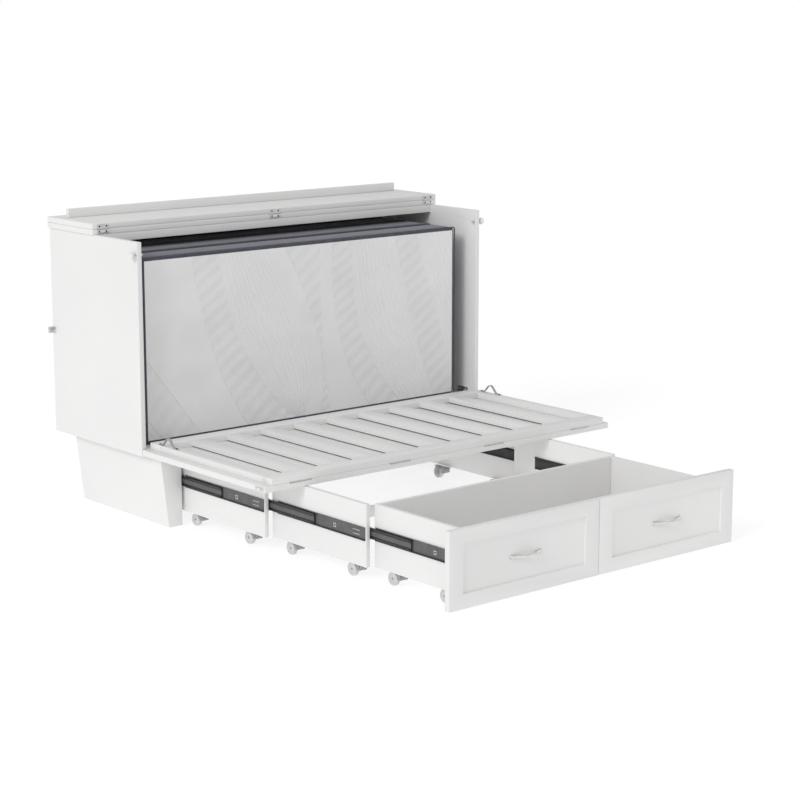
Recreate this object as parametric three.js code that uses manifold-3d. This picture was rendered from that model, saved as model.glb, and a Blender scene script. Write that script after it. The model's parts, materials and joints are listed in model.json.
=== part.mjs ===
// Cabinet bed: a chest whose front panel folds down, whose slatted foot panel
// unfolds from it, and whose three nested drawer sections roll out to carry both.
// Millimetres. +x right, +y back, +z up. y = 0 is the front edge of the cabinet's
// sides until the whole bed is moved so that its origin is the middle of its footprint.
// The pose is the half-opened one: lid folded back, front panel down, drawers out.

import * as THREE from 'three';
import { mergeVertices } from 'three/addons/utils/BufferGeometryUtils.js';
import Module from 'manifold-3d';

const wasm = await Module();
wasm.setup();

const GAP = 0.3; // clearance between pieces that touch
const CUT = 1; // how far a cutter runs past the face that it cuts

// Cabinet
const WIDTH = 1640;
const DEPTH = 600;
const BOARD = 18; // sides, back and rails
const SIDE_BOTTOM = 268;
const SIDE_TOP = 1050;
const BED_LEVEL = 294; // top of the deck and of the opened panels
const DECK_BOTTOM = 272;
const DECK_FRONT = 2;
const TOP_THICK = 20.7;
const TOP_OVERHANG = 10;
const FOLD_Y = 281; // front edge of the fixed half of the top
const TOP_RAIL_HEIGHT = 30;
const BASE_RAIL_THICK = 14;

// Lid: the loose half of the top, folded back onto the fixed half
const HINGE_SETBACK = 2;
const LID_HINGE_X = 785;
const HINGE_WIDTH = 50;
const HINGE_LEAF = 1.4;
const HINGE_LEAF_HEIGHT = 17;
const KNUCKLE_RADIUS = 1.7;
const KNUCKLE_SIDES = 16;
const CLEAT_FRONT = 505;
const CLEAT_HEIGHT = 33;
const CLEAT_INSET = 27;

// Pedestals: box feet whose outer face leans in towards the floor
const PEDESTAL_FRONT = -53;
const PEDESTAL_BACK = 531;
const PEDESTAL_TOP = DECK_BOTTOM - GAP;
const PEDESTAL_OUTER_TOP = 777;
const PEDESTAL_OUTER_BOTTOM = 745;
const PEDESTAL_INNER = 686;

// Front panel, folded down: it turns about a knuckle at the deck's front edge
const PANEL_REAR = -2;
const PANEL_FRONT = -749;
const PIVOT_Z = BED_LEVEL + 1;
const SHAKER_DEPTH = 6;
const PANEL_STILE = 70;
const PIVOT_LEAF_LENGTH = 300;
const PIVOT_LEAF_THICK = 1;
const PIVOT_LEAF_INSET = 60; // from the cabinet's inner wall

// Foot panel: a slatted frame folded back on top of the front panel
const FRAME_REAR = -10;
const FRAME_THICK = 24;
const FRAME_HALF_WIDTH = 790;
const SIDE_RAIL = 41;
const REAR_RAIL = 65;
const FRONT_RAIL = 59;
const SLAT_COUNT = 9;
const SLAT_WIDTH = 60;

// Drawer sections, nested in each other when shut
const SECTION_TOP = 269.5;
const SECTION_BOTTOM = 52;
const SECTION_BOARD = 16;
const SLIDE_SPACE = 12.5;
const RIGHT_SET_IN = 120; // how much further in the right-hand side boards stand
const HANGER_BOARD = 18; // it carries the right-hand slides under the deck
const HANGER_FRONT = -25; // behind the drawer's front, when shut
const RIGHT_MEMBER_SET_BACK = 10; // of the first slide, for the same reason
const SECTION_ENDS = [[-549, -9], [-1075, -554]]; // front and rear ends, section 1 then 2
const BOX_ENDS = [-1497, -1084];
const TIE_HEIGHT = [54, 94];
const DRAWER_FRONT_HALF_WIDTH = 668;
const DRAWER_FRONT_HEIGHT = [6, 270];
const DRAWER_FRONT_THICK = 22;
const DRAWER_FLOOR = [60, 72];
const DRAWER_STILE = 60;
const DRAWER_MIDDLE_STILE = 64; // half of it, up to the seam
const DRAWER_BAND = 50; // above and below the sunk panels
const SEAM_HALF_WIDTH = 1.5;
const SEAM_DEPTH = 4;

// Ball-bearing slides: channel on the drawer, I-section member between
const SLIDE_BOTTOM = 145;
const SLIDE_HEIGHT = 45;
const SLIDE_WALL = 1.5;
const CHANNEL_DEPTH = 5.3;
const MEMBER_LIP = 3;
const MEMBER_WEB = 2;
const MEMBER_SPAN = [2.2, 10.3]; // from the drawer's side board outwards
const MEMBER_CLEARANCE = 2.5; // inside the channel, above and below
const CHANNEL_ENDS = [[-545, -65], [-1071, -591], [-1493, -1093]];
const MEMBER_ENDS = [[-297, 183], [-803, -323], [-1281, -881]];

// Casters
const WHEEL_RADIUS = 24;
const WHEEL_WIDTH = 16;
const WHEEL_INSET = 9.5; // from a side board's inner face to the wheel's middle
const TREAD_BEVEL = 2.5;
const WHEEL_Y = [[-92, -424], [-632, -974], [-1154, -1416]];

// Small fittings
const PULL_X = 333;
const PULL_Z = 138;
const PULL_BOW = { halfSpan: 60, foot: 10, rise: 22, thick: 5, deep: 10 };
const LOCK_Z = 1003;
const LOCK_Y = BED_LEVEL + GAP + FRAME_THICK / 2 - PIVOT_Z;
const LOCK_TRAVEL = 11;
const LOCK_TIP = 791.5;
const LOCK_RADIUS = 4;
const LOCK_HOLE_RADIUS = 4.6;
const KNOB_RADIUS = 14;
const KNOB_NECK_RADIUS = 9;
const KNOB_LENGTH = 14;
const STRIKE_DEPTH = 14;
const STRIKE_RADIUS = 6;
const LOOP_X = 782;
const LOOP_Y = -117.5;
const LOOP_BOW = { halfSpan: 42, foot: 18, rise: 30, thick: 2.5, deep: 12 };
const BOW_STEPS = 18;

// Mattress, folded in three and standing on the deck
const MATTRESS_X = [-771, 735];
const MATTRESS_Y = [47, 515];
const MATTRESS_TOP = 985;

/** A maker of one finish's material, so that every piece has its own. */
function finish(color, roughness, metalness = 0) {
  return () => new THREE.MeshStandardMaterial({ color, roughness, metalness });
}

const white = finish(0xf1f1ef, 0.45);
const nickel = finish(0xb9b7b3, 0.3, 1);
const blackSteel = finish(0x2b2b2d, 0.5, 0.6);
const plastic = finish(0xd9dadb, 0.4);
const webbing = finish(0xa9a9a7, 0.9);
const ticking = finish(0xe4e4e6, 0.95);

const HALF = WIDTH / 2;
const INSIDE = HALF - BOARD;
const SIDES = [['left', -1], ['right', 1]];

// Half-widths from the middle of the bed to each nest's side boards
const OUTER_FACE = [PEDESTAL_INNER - SLIDE_SPACE];
for (const step of [1, 2]) {
  OUTER_FACE.push(OUTER_FACE[step - 1] - SECTION_BOARD - SLIDE_SPACE);
}

/** How far from the bed's middle the outer face of a nest's side board is. */
function outerFace(nest, side) {
  return OUTER_FACE[nest] - (side > 0 ? RIGHT_SET_IN : 0);
}

/** A range in x between a nest's side boards, lowest first. */
function betweenBoards(nest) {
  return [-outerFace(nest, -1) + SECTION_BOARD + GAP, outerFace(nest, 1) - SECTION_BOARD - GAP];
}

/** A range in x on one side of the bed, lowest first. */
function sideRange(side, near, far) {
  return side > 0 ? [near, far] : [-far, -near];
}

/** A rectangular board spanning three ranges. */
function board(name, material, x, y, z) {
  const size = [x, y, z].map(([low, high]) => high - low);
  const mesh = new THREE.Mesh(new THREE.BoxGeometry(...size), material);
  mesh.position.set((x[0] + x[1]) / 2, (y[0] + y[1]) / 2, (z[0] + z[1]) / 2);
  mesh.name = name;
  return mesh;
}

/** A round bar along x between two x values. */
function roundBar(name, material, radius, x, y, z, sides = 24) {
  const geometry = new THREE.CylinderGeometry(radius, radius, x[1] - x[0], sides);
  geometry.rotateZ(Math.PI / 2);
  const mesh = new THREE.Mesh(geometry, material);
  mesh.position.set((x[0] + x[1]) / 2, y, z);
  mesh.name = name;
  return mesh;
}

/** A mesh's closed solid, in the place the mesh has. */
function solidOf(mesh) {
  mesh.updateMatrix();
  const geometry = mesh.geometry.clone().applyMatrix4(mesh.matrix);
  geometry.deleteAttribute('normal');
  geometry.deleteAttribute('uv');
  const merged = mergeVertices(geometry, 1e-4);
  return new wasm.Manifold(new wasm.Mesh({
    numProp: 3,
    vertProperties: new Float32Array(merged.attributes.position.array),
    triVerts: new Uint32Array(merged.index.array),
  }));
}

/** A mesh made of some meshes joined, less some others. */
function carved(name, material, joined, removed = []) {
  let solid = joined.map(solidOf).reduce((whole, piece) => whole.add(piece));
  for (const tool of removed) solid = solid.subtract(solidOf(tool));
  const result = solid.getMesh();
  const geometry = new THREE.BufferGeometry();
  geometry.setAttribute('position', new THREE.BufferAttribute(result.vertProperties, 3));
  geometry.setIndex(new THREE.BufferAttribute(result.triVerts, 1));
  geometry.computeVertexNormals();
  const mesh = new THREE.Mesh(geometry, material);
  mesh.name = name;
  return mesh;
}

/** A section of [x, z] points drawn out along y. */
function profileAlongY(name, material, points, y) {
  const outline = new THREE.Shape(points.map(([px, pz]) => new THREE.Vector2(px, pz)));
  const geometry = new THREE.ExtrudeGeometry(outline, { depth: y[1] - y[0], bevelEnabled: false });
  geometry.rotateX(Math.PI / 2);
  const mesh = new THREE.Mesh(geometry, material);
  mesh.position.y = y[1];
  mesh.name = name;
  return mesh;
}

/** A bowed strip: flat feet, and between them a hump that follows a squared cosine. */
function bow({ halfSpan, foot, rise, thick, deep }) {
  const hump = (u) => rise * Math.cos((Math.PI * u) / (2 * halfSpan)) ** 2;
  const under = [];
  for (let step = 0; step <= BOW_STEPS; step += 1) {
    const u = halfSpan * ((2 * step) / BOW_STEPS - 1);
    under.push([u, hump(u)]);
  }
  const over = under.map(([u, v]) => [u, v + thick]).reverse();
  const end = halfSpan + foot;
  const points = [[-end, 0], ...under, [end, 0], [end, thick], ...over, [-end, thick]];
  const outline = new THREE.Shape(points.map(([u, v]) => new THREE.Vector2(u, v)));
  return new THREE.ExtrudeGeometry(outline, { depth: deep, bevelEnabled: false });
}

/** A turned piece about x: profile of [radius, x] points that starts and ends on the axis. */
function turned(name, material, profile, side, y, z, sides = 24) {
  const points = profile.map(([radius, along]) => new THREE.Vector2(radius, along));
  const geometry = new THREE.LatheGeometry(points, sides);
  geometry.rotateZ(-Math.PI / 2);
  const mesh = new THREE.Mesh(geometry, material);
  if (side < 0) mesh.rotation.z = Math.PI;
  mesh.position.set(0, y, z);
  mesh.name = name;
  return mesh;
}

function cabinet() {
  const group = new THREE.Group();
  for (const [label, side] of SIDES) {
    const panel = board('panel', white(),
      sideRange(side, INSIDE, HALF), [0, DEPTH], [SIDE_BOTTOM, SIDE_TOP]);
    const bore = roundBar('bore', white(), LOCK_HOLE_RADIUS,
      sideRange(side, INSIDE - CUT, HALF + CUT), LOCK_Y, LOCK_Z);
    group.add(carved(`side_panel_${label}`, white(), [panel], [bore]));

    const foot = [
      [side * PEDESTAL_INNER, 0], [side * PEDESTAL_OUTER_BOTTOM, 0],
      [side * PEDESTAL_OUTER_TOP, PEDESTAL_TOP], [side * PEDESTAL_INNER, PEDESTAL_TOP],
    ];
    group.add(profileAlongY(`pedestal_${label}`, white(), foot, [PEDESTAL_FRONT, PEDESTAL_BACK]));
  }
  const inner = [-INSIDE + GAP, INSIDE - GAP];
  const top = [-HALF - TOP_OVERHANG, HALF + TOP_OVERHANG];
  const backFront = DEPTH - BOARD;
  const baseSpan = [-PEDESTAL_INNER + GAP, PEDESTAL_INNER - GAP];
  const hanger = PEDESTAL_INNER - RIGHT_SET_IN;
  const hangs = [SECTION_BOTTOM, PEDESTAL_TOP];
  group.add(
    board('back_panel', white(), inner, [backFront, DEPTH], [SIDE_BOTTOM, SIDE_TOP]),
    board('deck_panel', white(), inner, [DECK_FRONT, backFront - GAP], [DECK_BOTTOM, BED_LEVEL]),
    board('top_board', white(), top,
      [FOLD_Y, DEPTH], [SIDE_TOP + GAP, SIDE_TOP + GAP + TOP_THICK]),
    board('top_rail', white(), inner,
      [FOLD_Y, FOLD_Y + BOARD], [SIDE_TOP - TOP_RAIL_HEIGHT, SIDE_TOP]),
    carved('base_rail', white(), [
      board('rail', white(), baseSpan, [PEDESTAL_BACK - BASE_RAIL_THICK, PEDESTAL_BACK], hangs),
      board('hanger', white(), [hanger, hanger + HANGER_BOARD], [HANGER_FRONT, PEDESTAL_BACK], hangs),
    ]),
  );
  return group;
}

function lid() {
  const group = new THREE.Group();
  const bottom = SIDE_TOP + TOP_THICK + 2 * GAP;
  const flapTop = bottom + TOP_THICK;
  const half = HALF + TOP_OVERHANG;
  const cleatHalf = HALF - CLEAT_INSET;
  group.add(
    board('lid_flap', white(), [-half, half], [FOLD_Y, DEPTH], [bottom, flapTop]),
    board('lid_cleat', white(), [-cleatHalf, cleatHalf], [CLEAT_FRONT, CLEAT_FRONT + BOARD],
      [flapTop + GAP, flapTop + CLEAT_HEIGHT]),
  );
  const axisY = FOLD_Y - HINGE_SETBACK;
  const axisZ = bottom - GAP / 2;
  for (const [label, x] of [['left', -LID_HINGE_X], ['center', 0], ['right', LID_HINGE_X]]) {
    const span = [x - HINGE_WIDTH / 2, x + HINGE_WIDTH / 2];
    const leaf = board('leaf', nickel(), span, [FOLD_Y - GAP - HINGE_LEAF, FOLD_Y - GAP],
      [axisZ, axisZ + HINGE_LEAF_HEIGHT]);
    const knuckle = roundBar('knuckle', nickel(), KNUCKLE_RADIUS, span, axisY, axisZ, KNUCKLE_SIDES);
    group.add(carved(`lid_hinge_${label}`, nickel(), [leaf, knuckle]));
  }
  return group;
}

/** Two sunk rectangles side by side, cut into a board's face. */
function shakerCutters(halfWidth, stile, seam, acrossY, acrossZ) {
  return [-1, 1].map((side) => board('sunk', white(),
    sideRange(side, seam, halfWidth - stile), acrossY, acrossZ));
}

function frontPanel() {
  const group = new THREE.Group();
  const slab = board('slab', white(),
    [-HALF, HALF], [PANEL_FRONT, PANEL_REAR], [DECK_BOTTOM, BED_LEVEL]);
  const sunk = shakerCutters(HALF, PANEL_STILE, PANEL_STILE / 2,
    [PANEL_FRONT + PANEL_STILE, PANEL_REAR - PANEL_STILE],
    [DECK_BOTTOM - CUT, DECK_BOTTOM + SHAKER_DEPTH]);
  group.add(carved('front_panel', white(), [slab], sunk));
  for (const [label, side] of SIDES) {
    const outerEnd = INSIDE - PIVOT_LEAF_INSET;
    const span = sideRange(side, outerEnd - PIVOT_LEAF_LENGTH, outerEnd);
    const leaf = board('leaf', nickel(), span,
      [PANEL_REAR + GAP, PANEL_REAR + GAP + PIVOT_LEAF_THICK], [BED_LEVEL - HINGE_LEAF_HEIGHT, PIVOT_Z]);
    const knuckle = roundBar('knuckle', nickel(), KNUCKLE_RADIUS, span, 0, PIVOT_Z, KNUCKLE_SIDES);
    group.add(carved(`panel_hinge_${label}`, nickel(), [leaf, knuckle]));
  }
  return group;
}

function footPanel() {
  const group = new THREE.Group();
  const z = [BED_LEVEL + GAP, BED_LEVEL + GAP + FRAME_THICK];
  const half = FRAME_HALF_WIDTH;
  const inner = half - SIDE_RAIL;
  const full = [-half, half];
  const slatEnds = [PANEL_FRONT + FRONT_RAIL, FRAME_REAR - REAR_RAIL];
  const pieces = [
    board('rail', white(), full, [FRAME_REAR - REAR_RAIL, FRAME_REAR], z),
    board('rail', white(), full, [PANEL_FRONT, PANEL_FRONT + FRONT_RAIL], z),
  ];
  for (const [, side] of SIDES) {
    pieces.push(board('rail', white(), sideRange(side, inner, half), [PANEL_FRONT, FRAME_REAR], z));
  }
  const space = (2 * inner - SLAT_COUNT * SLAT_WIDTH) / (SLAT_COUNT + 1);
  for (let slat = 0; slat < SLAT_COUNT; slat += 1) {
    const start = -inner + space + slat * (SLAT_WIDTH + space);
    pieces.push(board('slat', white(), [start, start + SLAT_WIDTH], slatEnds, z));
  }
  const strikeY = -(LOCK_Z - PIVOT_Z);
  const strikes = SIDES.map(([, side]) => roundBar('strike', white(), STRIKE_RADIUS,
    sideRange(side, half - STRIKE_DEPTH, half + CUT), strikeY, LOCK_Y + PIVOT_Z));
  group.add(carved('foot_slat_frame', white(), pieces, strikes));

  for (const [label, side] of SIDES) {
    const strap = bow(LOOP_BOW);
    strap.rotateX(Math.PI / 2);
    strap.rotateZ(Math.PI / 2);
    const loop = new THREE.Mesh(strap, webbing());
    loop.position.set(side * LOOP_X - LOOP_BOW.deep / 2, LOOP_Y, z[1] + GAP);
    loop.name = `pull_loop_${label}`;
    group.add(loop);
  }
  return group;
}

/** One caster wheel with rounded tread corners. */
function wheel(name, x, y) {
  const left = x - WHEEL_WIDTH / 2;
  const right = x + WHEEL_WIDTH / 2;
  const shoulder = WHEEL_RADIUS - TREAD_BEVEL;
  const profile = [
    [0, left], [shoulder, left], [WHEEL_RADIUS, left + TREAD_BEVEL],
    [WHEEL_RADIUS, right - TREAD_BEVEL], [shoulder, right], [0, right],
  ];
  return turned(name, plastic(), profile, 1, y, WHEEL_RADIUS);
}

/** The channel screwed to a drawer's side board and the member that runs in it. */
function slides(nest) {
  const pieces = [];
  const z0 = SLIDE_BOTTOM;
  const z1 = SLIDE_BOTTOM + SLIDE_HEIGHT;
  for (const [label, side] of SIDES) {
    const at = (depth) => side * (outerFace(nest, side) + depth);
    const channel = [
      [at(GAP), z0], [at(CHANNEL_DEPTH), z0], [at(CHANNEL_DEPTH), z0 + SLIDE_WALL],
      [at(GAP + SLIDE_WALL), z0 + SLIDE_WALL], [at(GAP + SLIDE_WALL), z1 - SLIDE_WALL],
      [at(CHANNEL_DEPTH), z1 - SLIDE_WALL], [at(CHANNEL_DEPTH), z1], [at(GAP), z1],
    ];
    pieces.push(profileAlongY(`slide_${nest + 1}_channel_${label}`, blackSteel(),
      channel, CHANNEL_ENDS[nest]));
    const [near, far] = MEMBER_SPAN;
    const low = z0 + SLIDE_WALL + MEMBER_CLEARANCE;
    const high = z1 - SLIDE_WALL - MEMBER_CLEARANCE;
    const middle = (near + far) / 2;
    const member = [
      [at(near), low], [at(far), low], [at(far), low + MEMBER_LIP],
      [at(middle + MEMBER_WEB / 2), low + MEMBER_LIP], [at(middle + MEMBER_WEB / 2), high - MEMBER_LIP],
      [at(far), high - MEMBER_LIP], [at(far), high], [at(near), high], [at(near), high - MEMBER_LIP],
      [at(middle - MEMBER_WEB / 2), high - MEMBER_LIP], [at(middle - MEMBER_WEB / 2), low + MEMBER_LIP],
      [at(near), low + MEMBER_LIP],
    ];
    const [front, rear] = MEMBER_ENDS[nest];
    const setBack = nest === 0 && side > 0 ? RIGHT_MEMBER_SET_BACK : 0;
    pieces.push(profileAlongY(`slide_${nest + 1}_member_${label}`, blackSteel(),
      member, [front + setBack, rear]));
  }
  return pieces;
}

/** The four casters of one nest. */
function casters(nest) {
  const middle = (side) => side * (outerFace(nest, side) - SECTION_BOARD - WHEEL_INSET);
  return SIDES.flatMap(([label, side]) => WHEEL_Y[nest].map((y, i) =>
    wheel(`caster_${nest + 1}_${label}_${['rear', 'front'][i]}`, middle(side), y)));
}

/** An open section: two side boards and a low tie at the back. */
function section(nest) {
  const group = new THREE.Group();
  const [front, rear] = SECTION_ENDS[nest];
  for (const [label, side] of SIDES) {
    const outer = outerFace(nest, side);
    const inner = outer - SECTION_BOARD;
    group.add(board(`section_${nest + 1}_board_${label}`, white(),
      sideRange(side, inner, outer), [front, rear], [SECTION_BOTTOM, SECTION_TOP]));
  }
  group.add(board(`section_${nest + 1}_tie`, white(),
    betweenBoards(nest), [rear - SECTION_BOARD, rear], TIE_HEIGHT));
  group.add(...slides(nest), ...casters(nest));
  return group;
}

function drawer() {
  const NEST = 2;
  const group = new THREE.Group();
  const [front, rear] = BOX_ENDS;
  const between = betweenBoards(NEST);
  const backFront = rear - SECTION_BOARD;
  for (const [label, side] of SIDES) {
    const outer = outerFace(NEST, side);
    const inner = outer - SECTION_BOARD;
    group.add(board(`drawer_side_${label}`, white(),
      sideRange(side, inner, outer), [front + GAP, rear], [SECTION_BOTTOM, SECTION_TOP]));
  }
  group.add(
    board('drawer_back', white(), between, [backFront, rear], [SECTION_BOTTOM, SECTION_TOP]),
    board('drawer_bottom', white(), between, [front + GAP, backFront - GAP], DRAWER_FLOOR),
  );
  const faceY = front - DRAWER_FRONT_THICK;
  const [z0, z1] = DRAWER_FRONT_HEIGHT;
  const half = DRAWER_FRONT_HALF_WIDTH;
  const slab = board('slab', white(), [-half, half], [faceY, front], [z0, z1]);
  const sunk = shakerCutters(half, DRAWER_STILE, DRAWER_MIDDLE_STILE,
    [faceY - CUT, faceY + SHAKER_DEPTH], [z0 + DRAWER_BAND, z1 - DRAWER_BAND]);
  const seam = board('seam', white(),
    [-SEAM_HALF_WIDTH, SEAM_HALF_WIDTH], [faceY - CUT, faceY + SEAM_DEPTH], [z0 - CUT, z1 + CUT]);
  group.add(carved('drawer_front', white(), [slab], [...sunk, seam]));

  for (const [label, side] of SIDES) {
    const handle = bow(PULL_BOW);
    handle.rotateX(Math.PI);
    const pull = new THREE.Mesh(handle, nickel());
    pull.position.set(side * PULL_X, faceY + SHAKER_DEPTH - GAP, PULL_Z + PULL_BOW.deep / 2);
    pull.name = `drawer_pull_${label}`;
    group.add(pull);
  }
  group.add(...slides(NEST), ...casters(NEST));
  return group;
}

/** A push knob through each side panel; pressed in, its pin enters the foot panel's strike. */
function locks() {
  const group = new THREE.Group();
  const neck = HALF + LOCK_TRAVEL + GAP;
  const end = neck + KNOB_LENGTH;
  const profile = [
    [0, LOCK_TIP], [LOCK_RADIUS - 1, LOCK_TIP], [LOCK_RADIUS, LOCK_TIP + 1], [LOCK_RADIUS, neck],
    [KNOB_NECK_RADIUS, neck], [KNOB_RADIUS, neck + 5],
    [KNOB_RADIUS, end - 3], [KNOB_RADIUS - 2, end], [0, end],
  ];
  for (const [label, side] of SIDES) {
    group.add(turned(`lock_knob_${label}`, white(), profile, side, LOCK_Y, LOCK_Z));
  }
  return group;
}

const bed = new THREE.Group();
bed.name = 'cabinet_bed';
bed.add(cabinet(), lid(), frontPanel(), footPanel(), section(0), section(1), drawer(), locks());
bed.add(board('mattress', ticking(), MATTRESS_X, MATTRESS_Y, [BED_LEVEL + GAP, MATTRESS_TOP]));

// The origin is on the floor under the middle of the bed's footprint
bed.updateMatrixWorld(true);
const reach = new THREE.Box3().setFromObject(bed);
bed.position.y = -(reach.min.y + reach.max.y) / 2;

export default bed;
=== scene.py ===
"""The looks of a cabinet bed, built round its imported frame.

Metres. +x is to the right, +y is towards the wall and +z is up. Boards are eased copies
of the frame's boards, the fittings are turned and bevelled pieces, and the folded
mattress is three cloth-simulated sections.
"""

import json
import math

import bmesh
import bpy
import numpy as np
from mathutils import Matrix, Vector


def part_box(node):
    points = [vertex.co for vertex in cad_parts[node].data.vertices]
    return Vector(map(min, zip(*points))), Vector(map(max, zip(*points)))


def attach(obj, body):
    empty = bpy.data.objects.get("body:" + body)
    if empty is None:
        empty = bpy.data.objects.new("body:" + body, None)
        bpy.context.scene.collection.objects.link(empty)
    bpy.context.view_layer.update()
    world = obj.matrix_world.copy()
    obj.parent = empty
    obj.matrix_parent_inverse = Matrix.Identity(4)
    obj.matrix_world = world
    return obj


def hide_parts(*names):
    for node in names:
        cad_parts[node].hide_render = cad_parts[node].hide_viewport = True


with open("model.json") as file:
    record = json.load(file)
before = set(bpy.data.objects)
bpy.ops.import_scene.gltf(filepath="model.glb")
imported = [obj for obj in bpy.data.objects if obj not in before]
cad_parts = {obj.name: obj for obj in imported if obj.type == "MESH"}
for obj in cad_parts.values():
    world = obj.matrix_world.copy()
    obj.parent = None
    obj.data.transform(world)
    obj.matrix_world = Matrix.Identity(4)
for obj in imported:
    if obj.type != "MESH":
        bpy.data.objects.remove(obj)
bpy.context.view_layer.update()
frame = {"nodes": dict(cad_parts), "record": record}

SIDES = (("left", -1), ("right", 1))
NESTS = (1, 2, 3)
HOME = {node: body for body, nodes in frame["record"]["behaviour"]["bodies"].items() for node in nodes}
SHARP = math.radians(32)
SAME_PLACE = 1e-6
CLEARANCE = 0.0003
UP = Vector((0, 0, 1))
ALONG_Y = Vector((0, 1, 0))

# Camera: a long lens, seen from the front left and a little above
AZIMUTH = math.radians(-39.95)
ELEVATION = math.radians(11.39)
CAMERA_DISTANCE = 7.87
CAMERA_TARGET = Vector((0.0162, 0.0102, 0.4413))
LENS = 95.7

# Boards: how far their edges are rounded
BOARD_EASE = 0.0012
OTHER_EASES = {"top_board": 0.0022, "lid_flap": 0.0022, "lid_cleat": 0.0020, "drawer_front": 0.0009,
               "front_panel": 0.0018}

# Foot panel, and where the locks and the pull loops' screws sit on it
SIDE_RAIL = 0.041
REAR_RAIL = 0.065
FRONT_RAIL = 0.059
SLAT_COUNT = 9
SLAT_WIDTH = 0.060
SLAT_EASE = 0.0011
# Height and set-back of the dark strip under each slat: painted shade in the gap between the slats and the
# front panel
SHADE_STRIP_HEIGHT = 0.0035
SHADE_STRIP_INSET = 0.004
STRIKE_SET_IN = 0.041
STRAP_THICKNESS = 0.0025
LOOP_SCREW_SET_IN = 0.008

# Hinges, catches, locks and brackets
LEAF_EASE = 0.0003
LEAF_HEIGHT = 0.017
KNUCKLE_RADIUS = 0.0017
PIN_END = 0.0012
LEAF_SCREW_SET_IN = 0.010
LEAF_SCREW_HEIGHT = 0.0098
NEARLY_FLUSH = 0.05
BARREL_PLACES = (-0.667, -0.224, 0.225, 0.667)
CATCH_SET_IN = 0.031
PLATE_THICKNESS = 0.0014
KNOB_LENGTH = 0.014
BRACKET_HEIGHTS = (0.648, 0.672)
BRACKET_THICKNESS = 0.0018
PULL_FOOT_SET_IN = 0.0065

# Slides
OUTER_WEB = (0.0107, 0.0122)
OUTER_FLANGE = 0.0069
SLIDE_WALL = 0.0015
BALL_COUNT = 9
BALL_PITCH = 0.021
BALL_RADIUS = 0.0019

# Mattress: three sections of equal thickness, folded against each other
SECTION_COUNT = 3
VOXEL = 0.008
CORNER_RADIUS = 0.010
FACE_SWELL = 0.006
EDGE_SWELL = 0.002
CROWN_REACH = 0.09
CROWN_POWER = 0.55
CLOTH_STEPS = 20
PIPING_RADIUS = 0.0026
PIPING_SIDES = 8
RIB_HEIGHT = 0.0005
RIB_PITCH = 0.046
RIB_SLANT = 0.55
LINE_PITCH = 0.025
BAND_FADE = 0.010

# Edges of the quilting's bands, left to right: start at the top, lean and curl on the way down
SWEPT_EDGES = ((-1.60, 0.85, 0.00), (-1.27, 0.85, 0.00), (-1.05, 0.78, 0.00), (-0.56, 0.20, 0.38),
               (-0.43, 0.19, 0.70), (-0.215, 0.66, -0.86), (-0.13, 0.50, -0.55), (0.05, 0.02, 0.10),
               (0.103, 0.00, 0.60), (0.208, 0.02, 0.73), (0.375, 0.36, 0.05), (0.415, 0.24, 0.15),
               (0.528, 0.34, 0.00), (0.72, 0.34, 0.00))
BAND_KINDS = ("lines", "ribs", "plain", "ribs", "lines", "plain", "ribs", "plain", "ribs", "lines", "plain",
              "ribs", "lines")


# ---------------------------------------------------------------- shader nodes

def add(tree, kind, inputs=None, **settings):
    """A shader node. Each input is given a value or another node's output."""
    made = tree.nodes.new(kind)
    for key, value in settings.items():
        setattr(made, key, value)
    for key, value in (inputs or {}).items():
        if isinstance(value, bpy.types.NodeSocket):
            tree.links.new(value, made.inputs[key])
        else:
            made.inputs[key].default_value = value
    return made


def calc(tree, operation, *values):
    """The output of a math node."""
    return add(tree, "ShaderNodeMath", dict(enumerate(values)), operation=operation).outputs[0]


def remap(tree, value, source, target, smooth=False):
    """A value carried from one range to another."""
    kind = "SMOOTHSTEP" if smooth else "LINEAR"
    ranges = {0: value, 1: source[0], 2: source[1], 3: target[0], 4: target[1]}
    return add(tree, "ShaderNodeMapRange", ranges, interpolation_type=kind).outputs[0]


def blend_colours(tree, factor, first, second):
    """Two colours mixed by a factor."""
    return add(tree, "ShaderNodeMix", {0: factor, 6: first, 7: second}, data_type="RGBA").outputs[2]


def grain(tree, scale, detail=2.0, stretch=(1, 1, 1)):
    """Noise over the piece, finer along an axis that is stretched more."""
    place = add(tree, "ShaderNodeTexCoord").outputs["Object"]
    scaled = add(tree, "ShaderNodeMapping", {"Vector": place, "Scale": stretch}).outputs[0]
    return add(tree, "ShaderNodeTexNoise", {"Vector": scaled, "Scale": scale, "Detail": detail}).outputs[0]


def grey(value, warmth=0.0):
    """An opaque near-grey, warmer above 0 and cooler below."""
    return (value * (1 + warmth), value, value * (1 - warmth), 1)


def surface(name, colours, patch, roughness, fine, depth, stretch=(1, 1, 1), sockets=None):
    """A finish whose colour and gloss drift slowly over a fine grain."""
    material = bpy.data.materials.new(name)
    material.use_nodes = True
    tree = material.node_tree
    shader = tree.nodes["Principled BSDF"]
    drift = remap(tree, grain(tree, patch, 4.0), (0.35, 0.65), (0, 1))
    tree.links.new(blend_colours(tree, drift, *colours), shader.inputs["Base Color"])
    texture = grain(tree, fine, 3.0, stretch)
    tree.links.new(remap(tree, texture, (0.3, 0.7), roughness), shader.inputs["Roughness"])
    bump = add(tree, "ShaderNodeBump", {"Height": texture, "Distance": depth, "Strength": 1.0})
    tree.links.new(bump.outputs[0], shader.inputs["Normal"])
    for socket, value in (sockets or {}).items():
        shader.inputs[socket].default_value = value
    return material


# ---------------------------------------------------------------- finishes

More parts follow.
